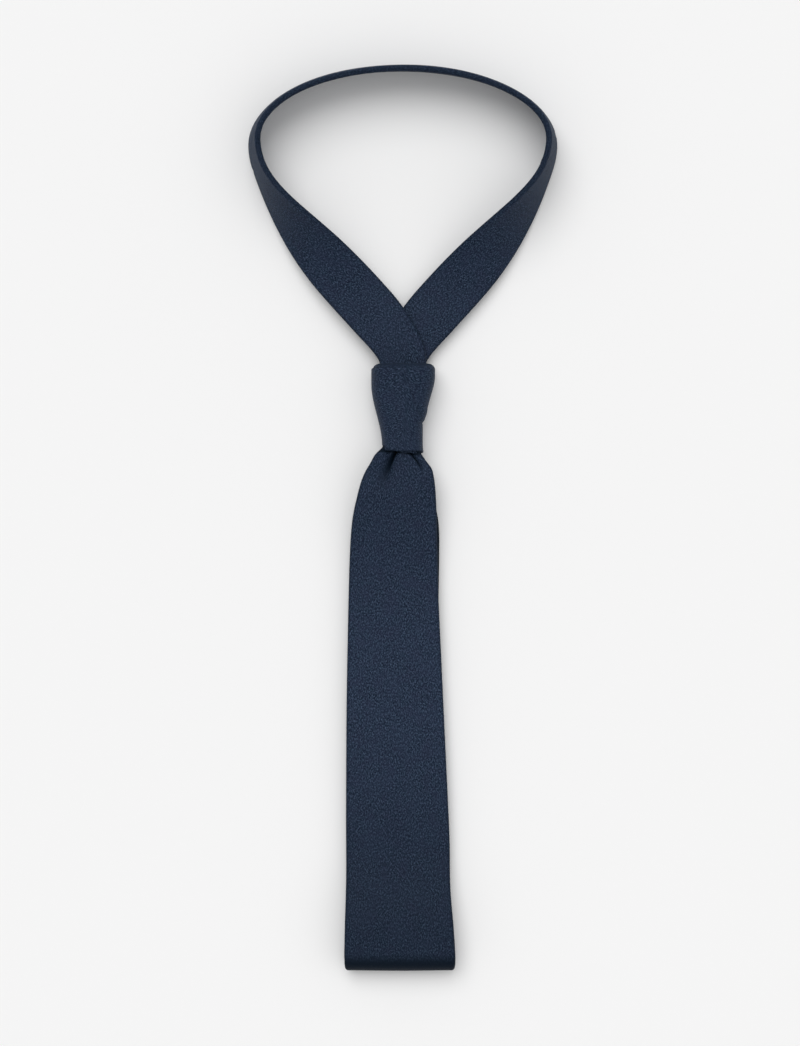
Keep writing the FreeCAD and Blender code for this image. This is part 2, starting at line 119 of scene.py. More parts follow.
def cusp(t):
    """A peak that is sharp at its top, with soft sides."""
    return np.exp(-np.sqrt(t * t + 0.03) + 0.173)


def leg_half(up, long=LEG_LONG):
    """Half of a leg's width in the knot."""
    return LEG_HALF + LEG_GROWS * np.clip(up / long, 0, 1)


def unit(rows):
    """Every row at length 1."""
    return rows / np.linalg.norm(rows, axis=1)[:, None]


def run_along(points):
    """Distance along each row of points, from its start."""
    gaps = np.linalg.norm(np.diff(points, axis=-2), axis=-1)
    return np.concatenate([np.zeros_like(gaps[..., :1]), np.cumsum(gaps, axis=-1)], axis=-1)


def run_from_middle(points):
    """The same from the middle of each row."""
    run = run_along(points)
    return run - run[:, [run.shape[1] // 2]]


# ---- courses: where a length of folded cloth runs ----

class Course:
    """The middle of a folded length: its points, the way across it and the way its front faces.

    at is the distance along the cloth of each point, and relief(a, at) how far the whole
    thickness is pushed out towards the front. slip(a, at) is how far it is pushed sideways."""

    def __init__(self, at, points, across, front, relief=None, slip=None):
        self.at = at
        self.tables = points, across, front
        self.relief = relief
        self.slip = slip

    def read(self, at, table):
        return np.stack([np.interp(at, self.at, table[:, i]) for i in range(3)], axis=-1)

    def __call__(self, at, a, n):
        middle, across, front = (self.read(at, table) for table in self.tables)
        if self.relief:
            n = n + self.relief(a, at)
        if self.slip:
            a = a + self.slip(a, at)
        return middle + across * a[..., None] + front * n[..., None]


def side_view_course(at, along, height, relief=None, slip=None):
    """A course in the plane X = 0, from its side view."""
    points = np.column_stack([0 * along, along, height])
    heading = unit(np.gradient(points, axis=0))
    front = heading[:, [0, 2, 1]] * (1, 1, -1)
    across = np.tile([1.0, 0.0, 0.0], (len(points), 1))
    return Course(at, points, across, front, relief, slip)


# the front blade

def blade_height(down):
    """Height of the cloth's middle: down to the tail, then up to the fold."""
    height = BLADE_RISE + (BLADE_LIE - BLADE_RISE) * smooth(down / (70 * MM))
    return height + (BLADE_LEVEL - BLADE_LIE) * smooth((down - 205 * MM) / (45 * MM))


def blade_edges(down):
    """The blade's left and right edges. Both widen fast at the mouth and then slowly.

    The other terms are the mouth's corners, slight waves and the notch at its right."""
    d = down / MM
    left = 10.6 + 16.9 * (1 - np.exp(-np.maximum(d + 1.5, 0) / 15)) + 0.0115 * np.maximum(d, 0)
    left += 1.45 * smooth((d + 3.1) / 1.8) * (1 - smooth((d + 0.5) / 7))
    left -= 2.5 * smooth((-3.2 - d) / 2.5) + 0.55 * bell((d - 22) / 9)
    left += 0.4 * bell((d - 130) / 45) - 0.45 * bell((d - 222) / 22)
    right = 10.4 + 6.4 * (1 - np.exp(-np.maximum(d, 0) / 7)) + 0.022 * np.maximum(d, 0)
    right += 0.025 * np.maximum(d - 75, 0) - 2.3 * smooth(-d / 3)
    right -= 1.6 * smooth((d + 1) / 2) * (1 - smooth((d - 3) / 6.5))
    right -= 0.9 * bell((d - 226) / 17)
    past_fold = down > FOLD_DOWN
    pinch = 0.8 * smooth((down - FOLD_DOWN) / FOLD_ARC)
    left = np.where(past_fold, -FOLD_LOW.x / MM - pinch, left)
    right = np.where(past_fold, FOLD_HIGH.x / MM - pinch, right)
    return taper(-left * MM, right * MM, (down - TIP_SHOULDER) / (TIP_LONG - TIP_SIDE))


def taper(left, right, share):
    """Edges that run to a point as share goes from 0 to 1."""
    middle = (left + right) / 2
    keep = 1 - np.clip(share, 0, 0.985)
    return middle + (left - middle) * keep, middle + (right - middle) * keep


def dimples(x, d):
    """The two dimples: (distance to the right of each, its depth) in millimetres."""
    first_at = -2.5 - 0.5 * d + 0.005 * d * d
    second_at = 3.0 + 0.93 * d - 0.02 * d * d
    slant = np.sqrt(1 + np.clip(0.93 - 0.04 * d, 0.3, 1.6) ** 2)
    return ((x - first_at, 5.4 * (1 - smooth((d - 1) / 21))),
            ((x - second_at) / slant, 3.0 * (1 - smooth((d - 4) / 8))))


def blade_relief(a, down):
    """The gathers under the knot: two deep dimples, a hollow at the left and soft ridges."""
    x, d = a / MM, down / MM
    reach = smooth((d + 9) / 8)
    below = np.maximum(d, 0)
    (first_off, first), (second_off, second) = dimples(x, d)
    first_wide = np.where(first_off > 0, 0.8 + 0.1 * below, 3.3 + 0.26 * below)
    second_wide = np.where(second_off > 0, 1.1, 0.6)
    level = -first * cusp(first_off / first_wide)
    level -= second * cusp(second_off / second_wide)
    level -= 0.7 * smooth(second_off / 1.2) * (1 - smooth((d - 3) / 9))
    level -= 1.8 * bell((x + 7.6) / 1.3) * bell((d + 0.2) / 1.5)
    level += 0.7 * bell((x - 1.2 - 0.1 * d) / 2.4) * bell((d - 2) / 10)
    level += 0.5 * bell((x + 6.5 + 1.1 * d) / 2.2) * bell((d - 1) / 6)
    broad = np.sin(x / 11 + d / 37) * np.sin(d / 21 + 1.3) * 0.16 * smooth(d / 60)
    fade = smooth((FOLD_DOWN - down) / (30 * MM))
    return (level * reach + broad * fade) * MM


def blade_slip(a, down):
    """Sideways push that makes one lip of each dimple hang over it."""
    (first_off, first), (second_off, second) = dimples(a / MM, down / MM)
    push = -0.3 * first * bell((first_off - 1.2) / 1.1)
    push += 0.28 * second * bell((second_off + 1.0) / 0.9)
    return push * smooth((down / MM + 5) / 4) * MM


BLADE_HIDDEN = 14 * MM  # how far the blade goes up into the knot


def blade_course():
    """From inside the knot to the fold, round it, and back under it to the point."""
    at = np.arange(-BLADE_HIDDEN, FOLD_DOWN, 0.5 * MM)
    arc = np.linspace(0, math.pi, 121)
    flap = np.arange(0.25 * MM, TIP_LONG + 0.5 * MM, 0.5 * MM)
    along = [MOUTH - at, FOLD_Y - FOLD_RADIUS * np.sin(arc), FOLD_Y + flap]
    height = [blade_height(at), PLY / 2 + FOLD_RADIUS * (1 + np.cos(arc)),
              np.full_like(flap, PLY / 2)]
    at_all = [at, FOLD_DOWN + FOLD_RADIUS * arc, FOLD_END + flap]
    return side_view_course(*(np.concatenate(part) for part in (at_all, along, height)),
                            blade_relief, blade_slip)


# the tail

def tail_edges(down):
    """The tail's left and right edges. It fans out to the right soon below the knot."""
    d = down / MM
    leg = leg_half(-down) / MM
    right = leg + 11.45 * (1 - np.exp(-np.maximum(d - 18, 0) / 6.3))
    right -= 2.7 * np.clip((d - 41) / 161, 0, 1)
    left = leg + 1.25 * smooth((d - 19) / 22) + 6.5 * smooth((d - 38) / 164)
    return taper(-left * MM, right * MM, (down - TAIL_SHOULDER) / (TAIL_DOWN - TAIL_SHOULDER))


def tail_relief(a, down):
    """Two soft gathers where it fans out, and a slight wave."""
    x, d = a / MM, down / MM
    gather = -1.1 * bell((x + 1 - 0.04 * d) / 1.6) - 0.7 * bell((x - 4 - 0.16 * d) / 1.4)
    fade = smooth((d - 20) / 10) * (1 - smooth((d - 34) / 30))
    return (gather * fade + 0.1 * np.sin(d / 17 + x / 9) * smooth((d - 60) / 40)) * MM


def tail_course():
    """From inside the knot down to the surface, and along it to the point."""
    at = np.arange(-26 * MM, TAIL_DOWN + MM, 0.5 * MM)
    lie = TAIL_LOW.z + PLY / 2
    height = TAIL_RISE + (lie - TAIL_RISE) * smooth((at - 21 * MM) / (34 * MM))
    return side_view_course(at, MOUTH - at, height, tail_relief)


# the neck loop, once round from the tail's leg to the blade's

LOOP_LEAD = 30 * MM  # how far below Y = 0 its course begins
LOOP_HALF = 77 * MM  # half of its width, at the middle of the band
LOOP_SIDE = 139 * MM  # Y where it is widest
LOOP_DEPTH = 38 * MM  # from there to the back of the neck
CURVE_SHARE = 0.62  # share of each side that curves up from the knot
BACK_ROLL = math.radians(80)  # how far the band stands up at the back of the neck
BAND_START_HALF = 12.2 * MM  # half of the band's width at the knot
BAND_GROWS = 1.8 * MM  # and how much more it soon is
SEAM_WAY = 0.6  # share of each side where its bias seam is
SEAM_SLOPE = 0.7  # of the bias seams, along for each metre across
SEAM_FADE = 50 * MM  # how far from a seam the cloth still leans with it


def loop_plan(way):
    """The loop's middle from above, from the knot (0) to the back of the neck (1)."""
    t = np.clip(way / CURVE_SHARE, 0, 1)[:, None]
    poles = np.array([(0, LOOP_START), (0, LOOP_START + 22 * MM),
                      (LOOP_HALF, LOOP_START + 75 * MM), (LOOP_HALF, LOOP_SIDE)])
    weights = ((1 - t) ** 3, 3 * t * (1 - t) ** 2, 3 * t ** 2 * (1 - t), t ** 3)
    curve = sum(weight * pole for weight, pole in zip(weights, poles))
    angle = (way - CURVE_SHARE) / (1 - CURVE_SHARE) * math.pi / 2
    back = np.stack([LOOP_HALF * np.cos(angle), LOOP_SIDE + LOOP_DEPTH * np.sin(angle)], axis=1)
    return np.where((way < CURVE_SHARE)[:, None], curve, back)


def loop_side(rise):
    """One side: middle points, and how far the band has rolled, from inside the knot."""
    way = np.linspace(0, 1, 400)
    lead = np.arange(-LOOP_LEAD, LOOP_START, 0.5 * MM)
    plan = np.concatenate([np.stack([np.zeros_like(lead), lead], axis=1), loop_plan(way)])
    way = np.concatenate([np.zeros_like(lead), way])
    roll = smooth((way - 0.18) / 0.38)
    half = BAND_START_HALF + BAND_GROWS * np.minimum(way / 0.15, 1)
    height = (half * np.sin(BACK_ROLL * roll) + PLY / 2 * np.cos(BACK_ROLL * roll)
              + (rise - PLY / 2) * (1 - roll))
    return np.column_stack([plan, height]), roll, way


def loop_course():
    """The loop's course, and the distances along it of its bias seams."""
    near = loop_side(TAIL_RISE)
    points, roll, way = loop_side(CROSSING_RISE)
    far = points * (-1, 1, 1), roll, 2 - way
    points, roll, way = (np.concatenate([one, two[-2::-1]]) for one, two in zip(near, far))
    heading = unit(np.gradient(points[:, :2], axis=0))
    at = run_along(points)
    outward = np.column_stack([heading[:, 1], -heading[:, 0], 0 * at])
    upward = np.array([0, 0, 1])
    turn = (BACK_ROLL * roll)[:, None]
    across = outward * np.cos(turn) - upward * np.sin(turn)
    front = outward * np.sin(turn) + upward * np.cos(turn)
    seams = np.interp([SEAM_WAY, 2 - SEAM_WAY], way, at)

    def relief(a, place):
        dent = sum(-0.22 * bell((place - seam - SEAM_SLOPE * a) / (0.9 * MM)) for seam in seams)
        swell = 0.14 * np.sin(place / (19 * MM)) * np.sin(a / (9 * MM) + place / (31 * MM))
        return (dent + swell * smooth((place - 60 * MM) / (30 * MM))) * MM

    return Course(at, points, across, front, relief), seams


def loop_half(at, length):
    """Half of the band's width: narrow at both knot ends."""
    from_end = np.minimum(at, length - at)
    start = LOOP_LEAD + LOOP_START
    outside = BAND_START_HALF + BAND_GROWS * smooth((from_end - start) / (32 * MM))
    return np.where(from_end < start, leg_half(from_end - LOOP_LEAD - MOUTH), outside)


# ---- the knot's surface ----

WIDEST_Z = 8 * MM  # height at which the knot is widest
BACK_TURN = 112  # degrees where the front wrap ends and the back one begins


def knot_half(up, right):
    """Half of the knot's width. Its right side has a step where the crease meets it."""
    u = up / MM
    half_left = 10.9 + 5.6 * smooth((u - 4) / 32)
    half_right = 10.3 + 2.2 * smooth((u - 14) / 9) + 3.6 * smooth((u - 22) / 18)
    half_right += 0.6 * np.exp(-np.abs(u) / 1.4)
    half_right += 1.05 * smooth((u - 14.8) / 2.5) + 0.3 * smooth((u - 23) / 4)
    return np.where(right, half_right, half_left) * MM


def knot_top(up):
    """Height of the knot's front."""
    return (19.1 + 4.9 * np.clip(up / KNOT_LONG, 0, 1.1) ** 1.3) * MM


def knot_space(turn, up, out):
    """A point round the knot, at a distance up from its mouth and out from its surface."""
    side, rise = np.sin(turn), np.cos(turn)
    front = rise > 0
    half = knot_half(up, side > 0) + out
    spread = np.where(front, np.abs(side) ** 0.8, np.abs(side) ** 0.5)
    lift = np.where(front, (knot_top(up) + out - WIDEST_Z) * np.abs(rise) ** 0.72,
                    -(WIDEST_Z + out) * np.abs(rise) ** 0.5)
    return np.stack([np.sign(side) * half * spread, MOUTH + up, WIDEST_Z + lift], axis=-1)


def even_turns(first, last, step):
    """Turns that are the same distance apart on the knot's surface."""
    dense = np.radians(np.linspace(first, last, 6000))
    run = surface_run(dense[:, None])[:, 0]
    count = int(run[-1] / step) + 2
    return np.interp(np.linspace(0, run[-1], count), run, dense)


def round_turn(turn):
    """The same turn in degrees, from -BACK_TURN on."""
    degrees = np.degrees(turn)
    return np.where(degrees < -BACK_TURN - 0.001, degrees + 360, degrees)


def band_low(turn):
    """up of the wraps' lower edge: nearly level in front, and higher at the left side."""
    degrees = round_turn(turn)
    across = np.sin(np.radians(np.clip(degrees, -90, 90)))
    front = 0.6 + 0.4 * smooth((-across - 0.1) / 0.5) + 2.5 * smooth((-across - 0.86) / 0.13)
    front -= 0.6 * smooth((across - 0.9) / 0.1)
    back = 3.5 * smooth((degrees - BACK_TURN) / (360 - 2 * BACK_TURN))
    return np.where(degrees > 90, back, front) * MM


def band_high(turn):
    """up of the wraps' upper edge: the crown, then a crease down to the right side."""
    degrees = round_turn(turn)
    side = np.abs(np.sin(np.radians(np.clip(degrees, 0, 90)))) ** 0.8
    up = np.full_like(degrees, KNOT_LONG)
    for _ in range(40):  # to settle, as its height depends on the width there
        x = knot_half(up, True) * side / MM
        up = 0.5 * up + 0.5 * np.clip(44 - 3.25 * x + 0.045 * x * x, 14, 44) * MM
    side_up = up[degrees <= 95].min() if (degrees <= 95).any() else 14.4 * MM
    back = side_up + (KNOT_LONG - side_up) * smooth((degrees - 100) / 140)
    return np.where(degrees > 95, back, np.where(degrees <= 0, KNOT_LONG, up))


# ---- cloth: a thin closed sheet that follows a section along a course ----

DEEP = 0.12  # how far the silk is darkened as its own tone, where no shade is painted
made = {}  # every piece of the object, by name


def add_object(name, data):
    """A new object in the scene."""
    thing = bpy.data.objects.new(name, data)
    bpy.context.scene.collection.objects.link(thing)
    return thing


def add_mesh(name, points, faces):
    """A new piece with smooth faces that all look outwards."""
    mesh = bpy.data.meshes.new(name)
    mesh.from_pydata([tuple(p) for p in points], [], faces)
    mesh.update()
    shape = bmesh.new()
    shape.from_mesh(mesh)
    bmesh.ops.recalc_face_normals(shape, faces=shape.faces)
    shape.to_mesh(mesh)
    shape.free()
    piece = add_object(name, mesh)
    mesh.polygons.foreach_set("use_smooth", [True] * len(mesh.polygons))
    mesh.set_sharp_from_angle(angle=math.radians(60))
    made[name] = piece
    return piece


def grid_faces(count_rows, count_columns):
    """Quads of a sheet's two sides and rim. The inner side's points come second."""
    total = count_rows * count_columns
    index = np.arange(total).reshape(count_rows, count_columns)
    a, b, c, d = index[:-1, :-1], index[:-1, 1:], index[1:, 1:], index[1:, :-1]
    outer = np.stack([a, b, c, d], axis=-1).reshape(-1, 4)
    rim = np.concatenate([index[0, :], index[1:, -1], index[-1, -2::-1], index[-2:0:-1, 0]])
    following = np.roll(rim, -1)
    edge = np.stack([rim, following, following + total, rim + total], axis=-1)
    return np.concatenate([outer, outer[:, ::-1] + total, edge]).tolist()


def cloth(name, space, sweep, section, thick, along=None, tone_and_painted_shade=DEEP):
    """A sheet through the section's columns at each sweep. Its map is in metres of flat cloth.

    along is the distance along the flat cloth, where the sweep itself isn't, and the last argument
    is how far the silk is darkened: its own tone, plus any painted shade and painted shadow."""
    p, q, out_p, out_q, sweep = np.broadcast_arrays(*section, sweep)
    points = [space(sweep, p + out_p * way, q + out_q * way).reshape(-1, 3)
              for way in (thick / 2, -thick / 2)]
    piece = add_mesh(name, np.concatenate(points), grid_faces(*p.shape))
    along = np.broadcast_to(sweep if along is None else along, p.shape)
    flat = np.stack([run_from_middle(space(sweep, p, q)), along], axis=-1)
    flat_twice = np.tile(flat.reshape(-1, 2), (2, 1))
    layer = piece.data.uv_layers.new(name="weave")
    corners = np.empty(len(piece.data.loops), np.int32)
    piece.data.loops.foreach_get("vertex_index", corners)
    layer.data.foreach_set("uv", flat_twice[corners].astype(np.float32).ravel())
    # the rolled attribute is how far the cloth faces sideways, for painted shade on rolled edges;
    # the other is the silk's own tone with painted shade and shadow
    for label, value in (("rolled", np.abs(out_p)), ("tone_and_painted_shade", np.broadcast_to(tone_and_painted_shade, p.shape))):
        layer = piece.data.attributes.new(label, "FLOAT", "POINT")
        layer.data.foreach_set("value", np.tile(value.ravel(), 2).astype(np.float32))
    piece["flat"] = [*np.ptp(flat, axis=(0, 1)).tolist(), flat_area(flat)]
    return piece


def flat_area(flat):
    """Area of the cut cloth, from its flat map."""
    one = flat[1:, 1:] - flat[:-1, :-1]
    two = flat[1:, :-1] - flat[:-1, 1:]
    return float(np.abs(one[..., 0] * two[..., 1] - one[..., 1] * two[..., 0]).sum() / 2)


def half_turn(count):
    """(out, rise) of the steps round a rolled edge, without the last one."""
    angles = np.linspace(-math.pi / 2, math.pi / 2, count, endpoint=False)
    return zip(np.cos(angles), np.sin(angles))


def joined(columns):
    """A section: each column's two coordinates and its way out."""
    return [np.concatenate(part, axis=1) for part in zip(*columns)]


def rolled(left, right, reach, half, top, edges, counts, lift=0, crown=0):
    """A section round two rolls: inner back flap, left roll, front, right roll, outer flap.

    left and right are where the front ends. reach and half are each roll's size across and
    through the cloth, top is the front's level and edges are the free edges of the flaps.
    lift raises the inner flap, and crown the middle of the front."""
    flap_count, roll_count, front_count = counts
    zero, one = np.zeros_like(left), np.ones_like(left)
    columns = []
    for t in np.linspace(0, 1, flap_count, endpoint=False):
        level = top - 2 * half[0] + lift * (1 - smooth((t - 0.3) / 0.6))
        columns.append((edges[0] + (left - edges[0]) * t, level, zero, -one))
    for out, rise in half_turn(roll_count):
        level = top - half[0] * (1 - rise)
        columns.append((left - reach[0] * out, level, -out * one, rise * one))
    for t in np.linspace(0, 1, front_count, endpoint=False):
        dome = crown * (1 - (2 * t - 1) ** 2) ** 2
        columns.append((left + (right - left) * t, top + dome, zero, one))
    for out, rise in half_turn(roll_count):
        level = top - half[1] * (1 + rise)
        columns.append((right + reach[1] * out, level, out * one, -rise * one))
    for t in np.linspace(0, 1, flap_count):
        columns.append((right + (edges[1] - right) * t, top - 2 * half[1], zero, -one))
    return joined(columns)


def folded(left, right, inner_edge, outer_edge, ply=PLY, silk=SILK, slant=1.0, closing=1.0,
           counts=(14, 10, 80), crown=0.25 * MM):
    """The section of folded cloth, whose outer back flap laps over the inner one.

    slant widens the rolls where the edges run aslant, and closing flattens them."""
    half = np.maximum((ply - silk) / 2 * closing, silk * 0.55) + np.zeros_like(left)
    reach = np.clip(half * slant, 0, (right - left - silk) * 0.49)
    left, right = left + silk / 2 + reach, right - silk / 2 - reach
    edges = np.maximum(inner_edge, left), np.minimum(outer_edge, right)
    lapped = smooth((edges[0] - edges[1]) / (3 * MM)) * LAP * ply / PLY
    return rolled(left, right, (reach, reach), (half, half), half, edges, counts, lapped,
                  crown * closing)


def plain(edges, inset, level, count=40):
    """The section of one flat layer, inside two edges."""
    left, right = edges
    t = np.linspace(0, 1, count)[None]
    return [left + inset + (right - left - 2 * inset) * t, level + 0 * t, 0 * t, 1 + 0 * t]


def steps(first, last, *sizes):
    """Places from first to last; sizes are (step, until) pairs and then the last step."""
    places, here = [], first
    for step, until in (*sizes[:-1], (sizes[-1], last)):
        count = max(1, round((until - here) / step))
        places += np.linspace(here, until, count, endpoint=False).tolist()
        here = until
    return np.array([*places, last])[:, None]


def point_rows(first, last):
    """Places down to a point: closer together in the last few millimetres."""
    even = steps(first, last - 4 * MM, 1.2 * MM)[:-1]
    return np.concatenate([even, last - 4 * MM * (1 - np.linspace(0, 1, 14)[:, None]) ** 1.6])


def opening(at, edges, tack, shoulder, seam, hem):
    """Free edges of the back flaps: lapped at the seam, then opening to the hems of the point."""
    left, right = edges
    over = 5 * MM
    share = np.clip((at - tack) / (shoulder - tack), 0, 1)
    skew = np.where(at > shoulder, hem * 1.35, hem)
    outer = seam + (right - skew - seam) * share
    inner = seam + over + (left + skew - seam - over) * share
    middle = (left + right) / 2
    meet = (at > shoulder) & (outer < inner)
    return np.where(meet, middle, inner), np.where(meet, middle, outer)


# ---- the pieces ----

POINT_END = 3 * MM  # the wool ends this far before a point
TIP_HEM, TAIL_HEM = 9 * MM, 7 * MM


def pointed(at, edges, tack, shoulder, point, seam, hem, counts):
    """The section of a folded length that opens at its tack and ends in a point."""
    inner, outer = opening(at, edges, tack, shoulder, seam, hem)
    remaining = np.clip((point - at) / (2.2 * MM), 0, 1)
    return folded(*edges, inner, outer, counts=counts, closing=np.sqrt(remaining * (2 - remaining)),
                  slant=1 + 0.4 * smooth((at - shoulder) / (2 * MM)))


def wool_inset(at, shoulder):
    """How far the wool stays inside the folded edges, twice as far where they slant."""
    return WOOL_INSET * (1 + smooth((at - shoulder) / (2 * MM) + 0.5))


def add_tipping(name, course, edges, first, last):
    """One length of the lining inside a point."""
    at = steps(first, last, 0.8 * MM)
    cloth(name, course, at, plain(edges(at), LINING_INSET, LINING_LEVEL), LINING)


def blade_tone_and_painted_shade(a, down):
    """The blade is palest in its middle and darker just below the knot and down its lower length,
    with painted shade in the gathers and round the fold and a painted shadow under the knot's lower
    edge.
    """
    tone_and_painted_shade = 0.16 * (1 - smooth((down - 20 * MM) / (90 * MM)))
    tone_and_painted_shade += 0.4 * smooth((down - 130 * MM) / (120 * MM))
    # painted shade round the fold, where the cloth turns under away from the light
    near_fold = smooth((down - FOLD_DOWN + 2.5 * MM) / (5 * MM))
    past_fold = smooth((1.1 - (down - FOLD_DOWN) / FOLD_ARC) / 0.4)
    tone_and_painted_shade += 0.55 * near_fold * past_fold
    d = down / MM
    (first_off, first), (second_off, second) = dimples(a / MM, d)
    # painted shade in the two dimples under the knot
    gather = 0.19 * first * bell((first_off + 1.4) / (1.7 + 0.12 * np.maximum(d, 0)))
    gather += 0.3 * second * bell(second_off / 0.6)
    # painted shadow: a thin dark line just under the knot's lower edge
    mouth = -0.9 + 1.35 * smooth((a / MM + 6) / 12)
    band_shadow = 0.85 * (1 - smooth((d - mouth - 0.2) / 1.0))
    return np.clip(tone_and_painted_shade + gather * smooth((d + 4) / 4) + band_shadow, 0, 0.95)


def make_blade():
    """The blade, the two halves of its fold and its tip: silk, wool and tipping."""
    course = blade_course()
    bend = 2.5 / 180 * FOLD_ARC
    spans = {
        "blade": steps(-BLADE_HIDDEN, FOLD_DOWN, (0.5 * MM, 26 * MM), (1.2 * MM, 60 * MM), 2.5 * MM),
        "fold_upper": steps(FOLD_DOWN, FOLD_QUARTER, bend),
        "fold_lower": steps(FOLD_QUARTER, FOLD_END, bend),
        "tip": point_rows(FOLD_END, TIP_POINT),
    }
    for name, at in spans.items():
        parts = pointed(at, blade_edges(at), BLADE_TACK, TIP_SHOULDER, TIP_POINT, BLADE_SEAM,
                        TIP_HEM, (14, 10, 80))
        cloth(name + "_silk", course, at, parts, SILK, tone_and_painted_shade=blade_tone_and_painted_shade(parts[0], at))
        at = at[at[:, 0] < TIP_POINT - POINT_END]
        thin = 1 - smooth((at - 8 * MM) / (24 * MM))
        parts = plain(blade_edges(at), wool_inset(at, TIP_SHOULDER), WOOL_LEVEL - 0.55 * MM * thin)
        cloth(name + "_wool", course, at, parts, WOOL - 1.05 * MM * thin)
    for name, first, last in (("blade_tipping", BLADE_TACK - MM, FOLD_DOWN),
                              ("fold_upper_tipping", FOLD_DOWN, FOLD_QUARTER),
                              ("fold_lower_tipping", FOLD_QUARTER, FOLD_END),
                              ("tip_tipping_silk", FOLD_END, TIP_POINT - 6 * MM)):
        add_tipping(name, course, blade_edges, first, last)
    return course


def tail_tone_and_painted_shadow(a, down):
    """The tail's own tone, with a painted shadow along its right edge where it shows past the blade.
    """
    shows = smooth((down - 22 * MM) / (6 * MM)) * (1 - smooth((down - 80 * MM) / (50 * MM)))
    right = tail_edges(down)[1]
    return DEEP + 0.8 * shows * smooth((a - right + 4 * MM) / (1.5 * MM))


def make_tail():
    """The tail with its wool and its lining."""
    course = tail_course()
    point_from = TAIL_SHOULDER - 3 * MM
    body = steps(MOUTH - JOIN_Y, point_from, (MM, 60 * MM), 2.5 * MM)
    at = np.concatenate([body[:-1], point_rows(point_from, TAIL_DOWN)])
    parts = pointed(at, tail_edges(at), TAIL_TACK, TAIL_SHOULDER, TAIL_DOWN, TAIL_SEAM,
                    TAIL_HEM, (10, 9, 44))
    cloth("tail_silk", course, at, parts, SILK, tone_and_painted_shade=tail_tone_and_painted_shadow(parts[0], at))
    at = at[at[:, 0] < TAIL_DOWN - POINT_END]
    parts = plain(tail_edges(at), wool_inset(at, TAIL_SHOULDER), WOOL_LEVEL)
    cloth("tail_wool", course, at, parts, WOOL)
    add_tipping("tail_tipping_silk", course, tail_edges, TAIL_TACK - MM, TAIL_DOWN - 5 * MM)
    return course


def make_loop():
    """The neck loop: three lengths of silk sewn on the bias, each with its wool."""
    course, seams = loop_course()
    length = course.at[-1]
    spans = {"neck_tail_side": (JOIN_Y + LOOP_LEAD, seams[0]), "neck_panel": seams,
             "neck_blade_side": (seams[1], length - LOOP_LEAD - CROSSING_LOW.y)}
    for name, (first, last) in spans.items():
        at = steps(first, last, 2.0 * MM)
        half = loop_half(at, length)
        parts = folded(-half, half, 6 * MM, MM, counts=(7, 8, 30))
        middle = course(np.broadcast_to(at, parts[0].shape), parts[0], parts[1])
        lean = sum(1 - smooth(np.abs(at - seam) / SEAM_FADE) for seam in seams)
        place = at + SEAM_SLOPE * run_from_middle(middle) * lean
        cloth(name + "_silk", course, place, parts, SILK)
        cloth(name + "_wool", course, at, plain((-half, half), WOOL_INSET, WOOL_LEVEL, 12), WOOL)


def wrap_section(low, high, roll_low, roll_high, back_low, back_high, counts=(8, 9, 60)):
    """A wrap of the knot: its lower and upper edges rolled under, and the cloth behind them."""
    half = roll_low - SILK / 2, roll_high - SILK / 2
    low, high = low + roll_low, high - roll_high
    return rolled(low, high, half, half, 0 * low - SILK / 2, (low + back_low, high - back_high),
                  counts)


def surface_run(turn, up=20 * MM):
    """Distance round the knot of each turn."""
    ring = knot_space(turn, up + 0 * turn, 0 * turn)
    return run_along(ring[:, 0])[:, None]


def make_wrap(name, first, last):
    """Silk and wool of one wrap, between two turns."""
    turn = even_turns(first, last, 0.6 * MM)[:, None]
    degrees = round_turn(turn)
    crease = smooth(degrees / 12) * (1 - smooth((degrees - 215) / 30))
    low, high = band_low(turn), band_high(turn)
    roll_high = BAND / 2 + (0.5 * MM - BAND / 2) * crease
    section = wrap_section(low, high, BAND / 2, roll_high, 9 * MM, (6 - 3 * crease) * MM)
    cloth(name + "_silk", knot_space, turn, section, SILK, surface_run(turn))
    section = plain((low + 1.2 * MM, high - (1.2 + 4.5 * crease) * MM), 0, -BAND / 2)
    cloth(name + "_wool", knot_space, turn, section, MM, surface_run(turn))


def make_underfold():
    """The second lip, under the band's lower edge."""
    turn = even_turns(-14, 100, 0.6 * MM)[:, None]
    degrees = np.degrees(turn)
    lip = 0.65 * smooth((degrees + 14) / 14) + 0.5 * smooth((degrees - 18) / 20)
    low = band_low(turn) - lip * MM
    section = wrap_section(low, low + 12 * MM, 0.55 * MM, 0.55 * MM, 7 * MM, 2 * MM, (6, 8, 16))
    section[1] = section[1] - BAND - 0.1 * MM
    cloth("knot_band_underfold", knot_space, turn, section, SILK, surface_run(turn, 4 * MM))


def make_top_fold():
    """From under the crease up to the crown, and over it into the knot."""
    turn = even_turns(-110, 170, 0.7 * MM)[:, None]
    crease = band_high(turn)
    crown = KNOT_LONG - MM
    over = smooth((95 - np.abs(np.degrees(turn))) / 60)
    zero = 0 * turn
    columns = []
    for t in np.linspace(0, 1, 40, endpoint=False):
        up = crease - 7 * MM + (crown - crease + 7 * MM) * t
        under = smooth((up - crease + 3.5 * MM) / (3 * MM))
        columns.append((up, (-2.2 + 1.25 * under) * MM, zero, 1 + zero))
    for angle in np.linspace(0, math.pi / 2, 22):
        c, s = math.cos(angle), math.sin(angle)
        depth = -BAND / 2 - (3.0 + 9.0 * over) * MM * (1 - c)
        columns.append((crown + 3.2 * MM * s + zero, depth, s + zero, c + zero))
    cloth("knot_top_fold_silk", knot_space, turn, joined(columns), SILK, surface_run(turn))


